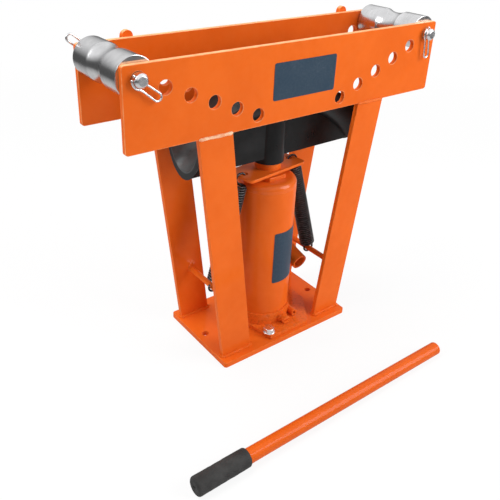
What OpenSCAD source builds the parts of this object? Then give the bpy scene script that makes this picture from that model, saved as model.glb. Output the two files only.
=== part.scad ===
// Hydraulic pipe bender: a welded stand with two drilled side plates, a bottle jack whose ram
// carries the bending die, two return springs, two grooved rollers on clipped pins, and a loose handle.
// Millimetres. +X runs along the side plates, +Y to the rear, +Z up.
// The origin is the middle of the base plate's underside.

/* [Stand] */
// Length of the side plates
plate_length = 590; // [570:1:620]
// Height of the side plates
plate_height = 117; // [112:1:122]
// Thickness of the side plates and of the legs
plate_thickness = 8; // [6:0.5:10]
// Clear width between the side plates
plate_gap = 124; // [122:1:128]
// Height of the side plates' top edge above the floor
stand_height = 531; // [528:1:545]
// Corner radius of the side plates
plate_corner = 5; // [2:0.5:10]
// Length of the base plate
base_length = 278; // [274:1:300]
// Width of the base plate
base_width = 172; // [166:1:190]
// Thickness of the base plate
base_thickness = 10; // [8:0.5:12]
// Width of a leg, measured along the side plates
leg_width = 58; // [50:1:60]
// Distance of a leg's top from the middle
leg_top_reach = 155; // [148:1:170]
// Distance of a leg's foot from the base plate's end
leg_inset = 6; // [4:0.5:8]
// Radius of the two fixing holes in the base plate
base_hole_radius = 6; // [4:0.5:7]
// Distance of a fixing hole from the base plate's end
base_hole_inset = 17; // [15:0.5:20]

/* [Rollers] */
// Pin places on each half of a side plate
pin_places = 6; // [4:1:6]
// Distance of the outermost pin place from the middle
pin_reach = 272.5; // [264:0.5:276]
// Depth of the outermost pin place below the plates' top edge
pin_drop = 19; // [17:0.5:21]
// Step from one pin place to the next along the plate
pin_step = 38.2; // [34:0.1:40]
// Fall from one pin place to the next
pin_fall = 16; // [12:0.5:16.5]
// Radius of a roller pin
pin_radius = 9.7; // [8:0.1:10]
// Length of a pin outside each side plate
pin_overhang = 13; // [12:0.5:18]
// Outer radius of a roller
roller_radius = 28; // [26:0.5:30]
// Radius of a roller at the middle of its groove
roller_waist = 23.5; // [20:0.5:25]
// Width of the plain band at each end of a roller
roller_band = 40; // [34:1:44]
// Wire radius of the hairpin clips
clip_wire = 1.8; // [1.4:0.1:2]

/* [Jack] */
// Outer radius of the oil reservoir
reservoir_radius = 51; // [48:0.5:52]
// Height of the reservoir tube
reservoir_height = 238; // [236:1:240]
// Wall of the reservoir tube
reservoir_wall = 3.5; // [3:0.5:5]
// Radius of the ram
ram_radius = 21; // [19:0.5:23]
// Radius of the ram's head, which carries the die
head_radius = 15; // [12:0.5:16]
// Radius of the pump plunger
plunger_radius = 8; // [6:0.5:9]
// Sideways distance of the pump from the ram
pump_reach = 70; // [69:0.5:72]
// Angle by which the handle socket hangs below level
socket_droop = 15; // [12:0.5:15.5]
// Inner radius of the handle socket
socket_bore = 11.3; // [11.2:0.1:11.6]
// Wall of the handle socket
socket_wall = 3.7; // [3:0.1:4]

/* [Die] */
// Radius of the die's rim, in side view
rim_radius = 262; // [255:1:268]
// Height of the rim's crown above the lower end of the die's boss
rim_rise = 132; // [128:1:134]
// Half the length of the die
die_reach = 166; // [160:1:168]
// Radius of the pipe groove
groove_radius = 39; // [36:0.5:40]
// Depth of the pipe groove
groove_depth = 40; // [36:0.5:40]
// Wall of the trough under the groove
trough_wall = 8.3; // [7:0.1:9]

/* [Springs] */
// Turn of the springs' bracket about the ram, seen from above
bracket_turn = 7; // [0:0.5:8]
// Place of the right spring's lower hook along its bar
right_hook_place = 0; // [-4:0.5:8]
// Place of the left spring's lower hook along its bar
left_hook_place = -9; // [-10:0.5:0]
// Wire radius of the return springs
spring_wire = 1.6; // [1.3:0.1:1.7]
// Radius of a coil at the wire's middle
spring_coil = 12.4; // [11:0.1:12.6]
// Curls in each spring
spring_curls = 36; // [28:1:38]
// Radius of a spring's end hook
hook_radius = 9; // [8.6:0.1:9.4]

/* [Handle] */
// Length of the handle tube
handle_length = 498; // [450:1:600]
// Radius of the handle tube
handle_radius = 11; // [10:0.1:11.1]
// Radius of the handle grip
grip_radius = 14; // [13:0.5:17]
// Length of the handle grip
grip_length = 88; // [80:1:130]
// Distance of the handle in front of the middle
handle_front = 260; // [240:1:300]

/* [Hidden] */

$fn = 64;

// Colours
paint = [0.94, 0.42, 0.14];
zinc = [0.74, 0.75, 0.77];
steel = [0.62, 0.63, 0.65];
black_iron = [0.07, 0.07, 0.08];
foam = [0.16, 0.17, 0.19];

// Fits: overrun of a cut, clearance of a running fit, clearance of a loose fit
overrun = 1;
running_gap = 0.05;
loose_gap = 0.3;

// Stand
plate_inner = plate_gap / 2;
plate_outer = plate_inner + plate_thickness;
plate_bottom = stand_height - plate_height;
hole_radius = pin_radius + loose_gap;
leg_foot_reach = base_length / 2 - leg_width / 2 - leg_inset;
base_hole_reach = base_length / 2 - base_hole_inset;
bar_radius = 5;
bar_height = 111;
bar_inset = 3.75;
bar_climb_share = (bar_height - base_thickness) / (plate_bottom - base_thickness);
bar_reach = leg_foot_reach + (leg_top_reach - leg_foot_reach) * bar_climb_share - bar_inset;
lug_reach = 213;
lug_radius = 9;
lug_height = 32;

// Rollers
roller_length = plate_gap - 2 * loose_gap;
pin_height = stand_height - pin_drop;
pin_chamfer = 3;
pin_half = plate_outer + pin_overhang;
clip_share = 0.45;
clip_plane = plate_outer + clip_share * pin_overhang;
clip_hole = clip_wire + loose_gap;
clip_ring = 5.6;
clip_length = 33;
left_clip_turn = -37;
right_clip_turn = -80;

// Jack casting
foot_thickness = 8;
foot_top = base_thickness + foot_thickness;
foot_front = 80;
foot_left = 36;
foot_right = 50;
foot_waist_angle = 10;
wing_overhang = 19;
wing_right = pump_reach + wing_overhang;
wing_front = 22;
wing_gap = 4;
wing_rear = plate_inner - wing_gap;
deck_step = 3;
deck_radius = reservoir_radius + deck_step;
deck_draft = 1;
deck_height = 22;
deck_top = foot_top + deck_height;
bolt_x = -31;
bolt_y = 67;
bolt_radius = 5;
bolt_head_radius = 9.8;
bolt_head_height = 7;
washer_radius = 11;
washer_height = 2;
valve_x = 8;
valve_rise = 9.5;
valve_z = foot_top + valve_rise;
valve_stem = 5;
valve_boss = 9;
valve_boss_front = 60;
oil_port_x = 36;
oil_port_front = 58;
oil_port_rise = 7.5;
oil_port_z = foot_top + oil_port_rise;
oil_port_radius = 6;
oil_port_bore = 3.2;
oil_port_depth = 8;
valve_head = 7.5;
valve_head_length = 9;
valve_slot = 4;

// Jack cylinder
reservoir_top = deck_top + reservoir_height;
ram_clearance = 5;
tube_bore = ram_radius + ram_clearance;
tube_wall = 6;
tube_outer = tube_bore + tube_wall;
piston_rest = 4;
piston_bottom = deck_top + piston_rest;
piston_height = 20;
piston_top = piston_bottom + piston_height;
cap_height = 14;
cap_shoulder = 10;
cap_top = reservoir_top + cap_height;
nut_height = 7;
nut_wall = 12;
nut_radius = ram_radius + nut_wall;
plug_radius = 6;
plug_flange = 9;
plug_drop = 40;
plug_height = reservoir_top - plug_drop;
plug_turn = 60;

// Ram head and spring bracket
ram_rest = 4;
bracket_thickness = 5;
bracket_bottom = cap_top + nut_height + ram_rest;
bracket_top = bracket_bottom + bracket_thickness;
bracket_width = 57;
bracket_corner = 8;
hub_radius = 22;
hub_height = 12;
hub_top = bracket_top + hub_height;
head_height = 22;
head_top = hub_top + head_height;

// Spring ends: the upper hook holds the strip between an ear hole and the bracket's end
hook_inner = hook_radius - spring_wire;
strip_half = 3.5;
hook_room = 0.7;
hook_rise = sqrt(hook_inner * hook_inner - (strip_half + hook_room) * (strip_half + hook_room));
ear_reach = 62;
ear_hole = 5.5;
ear_hole_inset = strip_half + ear_hole;
bracket_reach = ear_reach + strip_half;
spring_top = bracket_top - hook_rise;
spring_bottom = bar_height + hook_inner - bar_radius - loose_gap;
spring_head = [ear_reach * cos(bracket_turn), ear_reach * sin(bracket_turn), spring_top];
rings_per_curl = 8;
wire_sides = 6;

// Die
rim_crown = hub_top + rim_rise;
die_centre = rim_crown - rim_radius;
groove_centre = rim_radius + groove_radius - groove_depth;
groove_floor = rim_radius - groove_depth;
trough_radius = groove_radius + trough_wall;
trough_lift = 4;
trough_floor = hub_top + trough_lift;
web_half = 16;
web_lift = 10;
web_floor = hub_top + web_lift;
web_radius = groove_floor - trough_wall / 2;
web_inset = 4;
web_reach = die_reach - web_inset;
boss_radius = 26.5;
boss_bore = head_radius + loose_gap;
boss_top = die_centre + groove_floor + trough_wall / 2;

// Pump and lever, worked out from the fulcrum at the rear
fulcrum_y = 50;
fulcrum_z = 126;
lever_arm = 30;
slot_front = fulcrum_y - lever_arm;
slot_rear = fulcrum_y - lever_arm * cos(socket_droop);
pump_y = (slot_front + slot_rear) / 2;
lever_pin = 4;
pin_slack = 0.6;
ear_gap = 17;
ear_thickness = 4.5;
ear_half = ear_gap / 2 + ear_thickness;
ear_height = 18;
socket_start = 46;
socket_end = 78;
socket_radius = socket_bore + socket_wall;
pump_radius = 13;
pump_seat = 16;
pump_bottom = foot_top + pump_seat;
pump_top = 82;
pump_collar = 16;
pump_hex_height = 14;
plunger_rest = 8;
plunger_bottom = pump_bottom + plunger_rest;
side_play = 1;
eye_width = ear_gap - side_play;
eye_depth = 22;
eye_height = 19;
post_width = ear_gap - side_play;
post_depth = 16;
pin_rest_z = fulcrum_z - lever_arm * sin(socket_droop);

// Handle, lying on its grip and on the far end of its tube
handle_right = 188;
handle_wall = 2.5;
grip_end = 4;
grip_rim = 2.5;
grip_hole = 2.5;
handle_tilt = asin((grip_radius - handle_radius) / (handle_length - grip_length / 2));

// Flat shape with four rounded corners, centred on the origin
module rounded_rectangle(length, height, corner) {
    square([length - 2 * corner, height], center = true);
    square([length, height - 2 * corner], center = true);
    for (x = [-1, 1], y = [-1, 1])
        translate([x * (length / 2 - corner), y * (height / 2 - corner)])
            circle(corner);
}

// Turns an upright shape so that it lies along Y
module along_y() {
    rotate([90, 0, 0])
        children();
}

// Turns an upright shape so that it lies along X
module along_x() {
    rotate([0, 90, 0])
        children();
}

function unit(v) = v / norm(v);

// Direction of a path at its point i, from the neighbouring points
function heading(path, i) = unit(path[min(i + 1, len(path) - 1)] - path[max(i - 1, 0)]);

function square_to(v, t) = unit(v - t * (v * t));

// Round wire along a path: rings of points carried along without twist, then triangles
module wire(path, radius, sides) {
    count = len(path);
    start = square_to([0.21, 0.94, 0.27], heading(path, 0));
    normals = [
        for (i = 0, n = start; i < count; i = i + 1, n = i < count ? square_to(n, heading(path, i)) : n) n
    ];
    points = [
        for (i = [0:count - 1], k = [0:sides - 1])
            let (t = heading(path, i), n = normals[i], b = cross(t, n), a = 360 * k / sides)
            path[i] + radius * (cos(a) * n + sin(a) * b)
    ];
    walls = [
        for (i = [0:count - 2], k = [0:sides - 1])
            let (a = i * sides + k, b = i * sides + (k + 1) % sides)
            each [[a, b, b + sides], [a, b + sides, a + sides]]
    ];
    last = (count - 1) * sides;
    caps = [
        for (k = [1:sides - 2])
            each [[0, k + 1, k], [last, last + k, last + k + 1]]
    ];
    polyhedron([for (p = points) p], [for (f = concat(walls, caps)) [f[2], f[1], f[0]]]);
}

// Side plate lying in its own plane, with the two slanting rows of pin holes
module side_plate() {
    along_y()
        linear_extrude(plate_thickness)
            difference() {
                translate([0, (stand_height + plate_bottom) / 2])
                    rounded_rectangle(plate_length, plate_height, plate_corner);
                for (side = [-1, 1], i = [0:pin_places - 1])
                    translate([side * (pin_reach - i * pin_step), pin_height - i * pin_fall])
                        circle(hole_radius);
            }
}

// Leg: a flat bar that leans outward from the base to the side plate
module leg() {
    along_y()
        linear_extrude(plate_thickness)
            polygon([
                [leg_foot_reach - leg_width / 2, base_thickness],
                [leg_foot_reach + leg_width / 2, base_thickness],
                [leg_top_reach + leg_width / 2, plate_bottom],
                [leg_top_reach - leg_width / 2, plate_bottom]
            ]);
}

module base_plate() {
    color(paint)
        difference() {
            linear_extrude(base_thickness)
                rounded_rectangle(base_length, base_width, plate_corner);
            for (side = [-1, 1])
                translate([side * base_hole_reach, 0, -overrun])
                    cylinder(h = base_thickness + 2 * overrun, r = base_hole_radius);
            for (side = [-1, 1])
                translate([bolt_x, side * bolt_y, -overrun])
                    cylinder(h = base_thickness + 2 * overrun, r = bolt_radius + running_gap);
        }
}

module front_side_plate() {
    color(paint)
        translate([0, -plate_inner, 0])
            side_plate();
}

module rear_side_plate() {
    color(paint)
        translate([0, plate_outer, 0])
            side_plate();
}

// Round topped lug on the rear plate's outer face
module rear_lug() {
    translate([lug_reach, plate_outer + plate_thickness, stand_height])
        along_y()
            linear_extrude(plate_thickness) {
                circle(lug_radius);
                translate([-lug_radius, -lug_height])
                    square([2 * lug_radius, lug_height]);
            }
}

module right_rear_lug() {
    color(paint)
        rear_lug();
}

module left_rear_lug() {
    color(paint)
        mirror([1, 0, 0])
            rear_lug();
}

module front_right_leg() {
    color(paint)
        translate([0, -plate_inner, 0])
            leg();
}

module front_left_leg() {
    color(paint)
        mirror([1, 0, 0])
            translate([0, -plate_inner, 0])
                leg();
}

module rear_right_leg() {
    color(paint)
        translate([0, plate_outer, 0])
            leg();
}

module rear_left_leg() {
    color(paint)
        mirror([1, 0, 0])
            translate([0, plate_outer, 0])
                leg();
}

// Round bar between a front leg and a rear leg, which holds the lower end of a spring
module spring_bar() {
    translate([bar_reach, plate_inner, bar_height])
        along_y()
            cylinder(h = plate_gap, r = bar_radius);
}

module right_spring_bar() {
    color(paint)
        spring_bar();
}

module left_spring_bar() {
    color(paint)
        mirror([1, 0, 0])
            spring_bar();
}

// Outline of the casting's foot: two bolt flanges, and a wing that carries the pump
module foot_outline() {
    circle(deck_radius);
    polygon([
        [-foot_left, -foot_front],
        [foot_right, -foot_front],
        [wing_right, -wing_front],
        [wing_right, wing_rear],
        [foot_right + bolt_head_radius, wing_rear],
        [foot_right, foot_front],
        [-foot_left, foot_front],
        deck_radius * [-cos(foot_waist_angle), sin(foot_waist_angle)],
        deck_radius * [-cos(foot_waist_angle), -sin(foot_waist_angle)]
    ]);
}

module jack_base() {
    color(paint)
        difference() {
            union() {
                translate([0, 0, base_thickness])
                    linear_extrude(foot_thickness)
                        foot_outline();
                translate([0, 0, foot_top])
                    cylinder(h = deck_height, r1 = deck_radius + deck_draft, r2 = deck_radius);
                translate([pump_reach, pump_y, foot_top])
                    cylinder(h = pump_bottom - foot_top, r = pump_collar);
                translate([valve_x, 0, valve_z])
                    along_y()
                        cylinder(h = valve_boss_front, r = valve_boss);
                translate([oil_port_x, 0, oil_port_z])
                    along_y()
                        cylinder(h = oil_port_front, r = oil_port_radius);
            }
            for (side = [-1, 1])
                translate([bolt_x, side * bolt_y, base_thickness - overrun])
                    cylinder(h = foot_thickness + 2 * overrun, r = bolt_radius + running_gap);
            translate([valve_x, -valve_boss_front / 2, valve_z])
                along_y()
                    cylinder(h = valve_boss_front, r = valve_stem + running_gap);
            translate([oil_port_x, oil_port_depth - oil_port_front, oil_port_z])
                along_y()
                    cylinder(h = oil_port_depth + overrun, r = oil_port_bore);
        }
}

// Hexagon bolt with its washer, through the casting's flange into the base plate
module jack_bolt(side) {
    translate([bolt_x, side * bolt_y, 0]) {
        translate([0, 0, foot_top])
            cylinder(h = washer_height, r = washer_radius);
        translate([0, 0, foot_top + washer_height])
            cylinder(h = bolt_head_height, r = bolt_head_radius, $fn = 6);
        translate([0, 0, overrun])
            cylinder(h = foot_top + washer_height, r = bolt_radius);
    }
}

module front_jack_bolt() {
    color(zinc)
        jack_bolt(-1);
}

module rear_jack_bolt() {
    color(zinc)
        jack_bolt(1);
}

module reservoir_tube() {
    color(paint)
        difference() {
            translate([0, 0, deck_top])
                cylinder(h = reservoir_height, r = reservoir_radius);
            translate([0, 0, deck_top - overrun])
                cylinder(h = reservoir_height + 2 * overrun, r = reservoir_radius - reservoir_wall);
            rotate([0, 0, plug_turn])
                translate([0, 0, plug_height])
                    along_x()
                        cylinder(h = reservoir_radius + overrun, r = plug_radius + running_gap);
        }
}

module pressure_tube() {
    color(steel)
        translate([0, 0, deck_top])
            difference() {
                cylinder(h = reservoir_height, r = tube_outer);
                translate([0, 0, -overrun])
                    cylinder(h = reservoir_height + 2 * overrun, r = tube_bore);
            }
}

// Domed cover of the reservoir, turned from one profile
module reservoir_cap() {
    color(paint)
        translate([0, 0, reservoir_top])
            rotate_extrude()
                difference() {
                    union() {
                        square([reservoir_radius - cap_shoulder, cap_height]);
                        square([reservoir_radius, cap_height - cap_shoulder]);
                        translate([reservoir_radius - cap_shoulder, cap_height - cap_shoulder])
                            intersection() {
                                circle(cap_shoulder);
                                square(cap_shoulder);
                            }
                    }
                    translate([0, -overrun])
                        square([ram_radius + running_gap, cap_height + 2 * overrun]);
                }
}

module gland_nut() {
    color(paint)
        translate([0, 0, cap_top])
            difference() {
                cylinder(h = nut_height, r = nut_radius, $fn = 6);
                translate([0, 0, -overrun])
                    cylinder(h = nut_height + 2 * overrun, r = ram_radius + running_gap);
            }
}

module filler_plug() {
    color(black_iron)
        rotate([0, 0, plug_turn])
            translate([0, 0, plug_height])
                along_x() {
                    translate([0, 0, reservoir_radius - reservoir_wall])
                        cylinder(h = reservoir_wall + overrun, r = plug_radius);
                    translate([0, 0, reservoir_radius])
                        cylinder(h = reservoir_wall, r = plug_flange);
                }
}

module ram() {
    color(steel)
        union() {
            translate([0, 0, piston_top])
                cylinder(h = bracket_bottom - piston_top, r = ram_radius);
            translate([0, 0, bracket_bottom])
                cylinder(h = head_top - bracket_bottom, r = head_radius);
        }
}

module piston() {
    color(steel)
        translate([0, 0, piston_bottom])
            cylinder(h = piston_height, r = tube_bore - running_gap);
}

// Flat bracket on the ram's shoulder, with a hub under the die and an ear hole for each spring
module spring_bracket() {
    color(paint)
        translate([0, 0, bracket_bottom])
            rotate([0, 0, bracket_turn])
                difference() {
                    union() {
                        linear_extrude(bracket_thickness)
                            rounded_rectangle(2 * bracket_reach, bracket_width, bracket_corner);
                        translate([0, 0, bracket_thickness])
                            cylinder(h = hub_height, r = hub_radius);
                    }
                    translate([0, 0, -overrun])
                        cylinder(h = hub_top - bracket_bottom + 2 * overrun, r = head_radius + running_gap);
                    for (side = [-1, 1])
                        translate([side * (ear_reach - ear_hole_inset), 0, -overrun])
                            cylinder(h = bracket_thickness + 2 * overrun, r = ear_hole);
                }
}

// Disc about the die's centre of curvature
module die_disc(radius, half_width) {
    translate([0, half_width, die_centre])
        along_y()
            cylinder(h = 2 * half_width, r = radius, $fn = 160);
}

// Ring of round section about the die's centre of curvature
module die_ring(radius) {
    translate([0, 0, die_centre])
        along_y()
            rotate_extrude($fn = 160)
                translate([groove_centre, 0])
                    circle(radius);
}

// Box over the die, from a given floor to above its crown
module die_box(reach, half_width, floor_z) {
    translate([-reach, -half_width, floor_z])
        cube([2 * reach, 2 * half_width, rim_crown + overrun - floor_z]);
}

// Cast bending die: a half-round trough bent to an arc, on a thick flat web with a socket boss
module bending_die() {
    color(black_iron)
        difference() {
            union() {
                intersection() {
                    die_ring(trough_radius);
                    die_disc(rim_radius, trough_radius);
                    die_box(die_reach, trough_radius, trough_floor);
                }
                intersection() {
                    die_disc(web_radius, web_half);
                    die_box(web_reach, web_half, web_floor);
                }
                translate([0, 0, hub_top])
                    cylinder(h = boss_top - hub_top, r = boss_radius);
            }
            die_ring(groove_radius);
            translate([0, 0, hub_top - overrun])
                cylinder(h = head_height + 2 * overrun, r = boss_bore);
        }
}

// End hook of a spring: a straight tip, three quarters of a ring, then a half circle out to the coil
function hook_path(pitch) = concat(
    [[hook_radius, 0, 2 * spring_wire]],
    [for (a = [360:-22.5:90]) hook_radius * [cos(a), 0, sin(a)]],
    [
        for (a = [15:15:75])
            let (r = spring_coil * sin(a))
            [r * cos(a), r * sin(a), hook_radius + pitch * a / 180]
    ]
);

// Whole spring upright on its lower hook: the upper hook is the lower one turned end for end
function spring_path(length) =
    let (
        pitch = (length - 2 * hook_radius) / (spring_curls + 1),
        lower = hook_path(pitch),
        steps = spring_curls * rings_per_curl,
        last = len(lower) - 1
    )
    concat(
        lower,
        [
            for (i = [0:steps])
                let (a = 90 + 360 * i / rings_per_curl)
                [spring_coil * cos(a), spring_coil * sin(a),
                 hook_radius + pitch * (1 / 2 + i / rings_per_curl)]
        ],
        [for (i = [last:-1:0]) [-lower[i][0], lower[i][1], length - lower[i][2]]]
    );

// Least gap between stretches of wire that are more than half a curl apart
function least_gap(path, radius) =
    let (apart = rings_per_curl / 2, last = len(path) - 1)
    min([
        for (i = [0:last - apart - 1])
            min([for (j = [i + apart + 1:last]) norm(path[i] - path[j])])
    ]) - 2 * radius;

// Spring from its bar, at a given place along it, up to the bracket's ear
module return_spring(hook_place) {
    foot = [bar_reach, hook_place, spring_bottom];
    climb = spring_head - foot;
    path = spring_path(norm(climb));
    echo(str("least gap in the spring, mm: ", least_gap(path, spring_wire)));
    translate(foot)
        rotate([0, -atan2(norm([climb[0], climb[1]]), climb[2]), atan2(-climb[1], -climb[0])])
            wire(path, spring_wire, wire_sides);
}

module right_spring() {
    color(black_iron)
        return_spring(right_hook_place);
}

module left_spring() {
    color(black_iron)
        rotate([0, 0, 180])
            return_spring(-left_hook_place);
}

module pump_body() {
    color(paint)
        translate([pump_reach, pump_y, 0])
            difference() {
                union() {
                    translate([0, 0, pump_bottom])
                        cylinder(h = pump_top - pump_bottom, r = pump_radius);
                    translate([0, 0, pump_bottom])
                        cylinder(h = pump_hex_height, r = pump_collar, $fn = 6);
                }
                translate([0, 0, plunger_bottom - overrun])
                    cylinder(h = pump_top, r = plunger_radius + running_gap);
            }
}

// Plunger with a slotted eye, in which the lever's pin can shift as the lever swings
module pump_plunger() {
    color(steel)
        difference() {
            union() {
                translate([pump_reach, pump_y, plunger_bottom])
                    cylinder(h = pin_rest_z - plunger_bottom, r = plunger_radius);
                translate([pump_reach, pump_y, pin_rest_z])
                    cube([eye_width, eye_depth, eye_height], center = true);
            }
            for (y = [slot_front, slot_rear])
                translate([pump_reach - eye_width, y, pin_rest_z])
                    along_x()
                        cylinder(h = 2 * eye_width, r = lever_pin + pin_slack);
            translate([pump_reach - eye_width, slot_front, pin_rest_z - lever_pin - pin_slack])
                cube([2 * eye_width, slot_rear - slot_front, 2 * (lever_pin + pin_slack)]);
        }
}

// Places what is drawn along -Y from the fulcrum, hanging at the socket's droop
module on_lever() {
    translate([pump_reach, fulcrum_y, fulcrum_z])
        rotate([socket_droop, 0, 0])
            children();
}

module lever_pin_rod() {
    translate([-ear_half - overrun, 0, 0])
        along_x()
            cylinder(h = 2 * (ear_half + overrun), r = lever_pin);
}

module plunger_pin() {
    color(zinc)
        on_lever()
            translate([0, -lever_arm, 0])
                lever_pin_rod();
}

// Round ended cheek of the lever, from behind the fulcrum to the socket
module lever_cheek() {
    along_x()
        linear_extrude(ear_thickness) {
            circle(ear_height / 2);
            translate([-ear_height / 2, -socket_start - socket_wall])
                square([ear_height, socket_start + socket_wall]);
        }
}

module handle_socket() {
    color(paint)
        on_lever()
            difference() {
                union() {
                    for (x = [-ear_half, ear_gap / 2])
                        translate([x, 0, 0])
                            lever_cheek();
                    translate([0, -socket_start, 0])
                        along_y()
                            cylinder(h = socket_end - socket_start, r = socket_radius);
                }
                translate([0, overrun - socket_start, 0])
                    along_y()
                        cylinder(h = socket_end - socket_start + 2 * overrun, r = socket_bore);
                translate([0, -lever_arm, 0])
                    translate([-ear_half - overrun, 0, 0])
                        along_x()
                            cylinder(h = 2 * (ear_half + overrun), r = lever_pin);
                translate([-ear_half - overrun, 0, 0])
                    along_x()
                        cylinder(h = 2 * (ear_half + overrun), r = lever_pin + running_gap);
            }
}

// Upright link that carries the lever's fulcrum
module fulcrum_post() {
    color(paint)
        translate([pump_reach - post_width / 2, fulcrum_y, 0])
            difference() {
                union() {
                    translate([0, -post_depth / 2, foot_top])
                        cube([post_width, post_depth, fulcrum_z - foot_top]);
                    translate([0, 0, fulcrum_z])
                        along_x()
                            cylinder(h = post_width, r = post_depth / 2);
                }
                translate([-overrun, 0, fulcrum_z])
                    along_x()
                        cylinder(h = post_width + 2 * overrun, r = lever_pin);
            }
}

module fulcrum_pin() {
    color(zinc)
        on_lever()
            lever_pin_rod();
}

// Release screw: stem in the casting's boss and a slotted head
module release_valve() {
    color(paint)
        translate([valve_x, -valve_boss_front - loose_gap, valve_z])
            difference() {
                union() {
                    translate([0, valve_boss_front / 3, 0])
                        along_y()
                            cylinder(h = valve_boss_front / 3, r = valve_stem);
                    along_y()
                        cylinder(h = valve_head_length, r = valve_head);
                }
                translate([-valve_head - overrun, -valve_head_length - overrun, -valve_slot / 2])
                    cube([2 * (valve_head + overrun), valve_slot + overrun, valve_slot]);
            }
}

// Spool with a plain band at each end and a hollow groove between, turned from one profile
module roller() {
    half_chord = roller_length / 2 - roller_band;
    hollow = roller_radius - roller_waist;
    hollow_radius = (half_chord * half_chord + hollow * hollow) / (2 * hollow);
    translate([pin_reach, 0, pin_height])
        along_y()
            rotate_extrude($fn = 96)
                difference() {
                    translate([pin_radius + running_gap, -roller_length / 2])
                        square([roller_radius - pin_radius - running_gap, roller_length]);
                    translate([roller_waist + hollow_radius, 0])
                        circle(hollow_radius, $fn = 160);
                }
}

module right_roller() {
    color(zinc)
        roller();
}

module left_roller() {
    color(zinc)
        mirror([1, 0, 0])
            roller();
}

// Roller pin with chamfered ends and a cross hole outside each side plate
module roller_pin(side, turn) {
    translate([side * pin_reach, 0, pin_height])
        difference() {
            along_y() {
                cylinder(h = 2 * (pin_half - pin_chamfer), r = pin_radius, center = true);
                for (end = [-1, 1])
                    rotate([90 - 90 * end, 0, 0])
                        translate([0, 0, pin_half - pin_chamfer])
                            cylinder(h = pin_chamfer, r1 = pin_radius, r2 = pin_radius - pin_chamfer);
            }
            for (end = [-1, 1])
                translate([0, end * clip_plane, 0])
                    rotate([0, -turn, 0])
                        along_x()
                            cylinder(h = 4 * pin_radius, r = clip_hole, center = true);
        }
}

module left_roller_pin() {
    color(zinc)
        roller_pin(-1, left_clip_turn);
}

module right_roller_pin() {
    color(zinc)
        roller_pin(1, right_clip_turn);
}

// Hairpin clip about a pin at the origin: straight leg, round end, then a leg that hugs the pin from below
function clip_path() =
    let (
        tip = pin_radius + 2 * clip_wire,
        hug = pin_radius + clip_wire + loose_gap
    )
    concat(
        [[-tip, 0, 0], [0, 0, 0], [tip, 0, 0]],
        [for (a = [90:-22.5:-90]) [clip_length + clip_ring * cos(a), 0, clip_ring * (sin(a) - 1)]],
        [for (a = [-50:-21:-155]) [hug * cos(a), 0, hug * sin(a)]]
    );

module hairpin_clip(side, end, turn) {
    translate([side * pin_reach, end * clip_plane, pin_height])
        rotate([0, -turn, 0])
            wire(clip_path(), clip_wire, wire_sides);
}

module left_front_clip() {
    color(zinc)
        hairpin_clip(-1, -1, left_clip_turn);
}

module left_rear_clip() {
    color(zinc)
        hairpin_clip(-1, 1, 180 + left_clip_turn);
}

module right_front_clip() {
    color(zinc)
        hairpin_clip(1, -1, right_clip_turn);
}

module right_rear_clip() {
    color(zinc)
        hairpin_clip(1, 1, right_clip_turn);
}

// Places what is drawn along -X from the tube's far end, tilted onto the floor
module on_floor() {
    translate([handle_right, -handle_front, handle_radius])
        rotate([0, handle_tilt, 0])
            children();
}

module handle_tube() {
    color(paint)
        on_floor()
            translate([-handle_length, 0, 0])
                along_x()
                    difference() {
                        cylinder(h = handle_length, r = handle_radius);
                        translate([0, 0, -overrun])
                            cylinder(h = handle_length + 2 * overrun, r = handle_radius - handle_wall);
                    }
}

// Foam sleeve with a rounded closed end, turned from one profile
module handle_grip() {
    color(foam)
        on_floor()
            translate([-handle_length - grip_end, 0, 0])
                along_x()
                    rotate_extrude()
                        difference() {
                            union() {
                                translate([0, grip_rim])
                                    square([grip_radius, grip_length - 2 * grip_rim]);
                                square([grip_radius - grip_rim, grip_length]);
                                for (z = [grip_rim, grip_length - grip_rim])
                                    translate([grip_radius - grip_rim, z])
                                        circle(grip_rim);
                            }
                            translate([0, grip_end])
                                square([handle_radius + running_gap, grip_length]);
                            translate([0, -overrun])
                                square([grip_hole, grip_length]);
                        }
}

base_plate();
front_side_plate();
rear_side_plate();
left_rear_lug();
right_rear_lug();
front_left_leg();
front_right_leg();
rear_left_leg();
rear_right_leg();
left_spring_bar();
right_spring_bar();
jack_base();
front_jack_bolt();
rear_jack_bolt();
reservoir_tube();
pressure_tube();
reservoir_cap();
gland_nut();
filler_plug();
ram();
piston();
spring_bracket();
bending_die();
left_spring();
right_spring();
pump_body();
pump_plunger();
plunger_pin();
handle_socket();
fulcrum_post();
fulcrum_pin();
release_valve();
left_roller();
right_roller();
left_roller_pin();
right_roller_pin();
left_front_clip();
left_rear_clip();
right_front_clip();
right_rear_clip();
handle_tube();
handle_grip();
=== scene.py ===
"""Looks of a hydraulic pipe bender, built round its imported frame. Metres, +Z up, +Y to the rear."""
import math

import bmesh
import bpy
from mathutils import Matrix, Vector, noise


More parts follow.
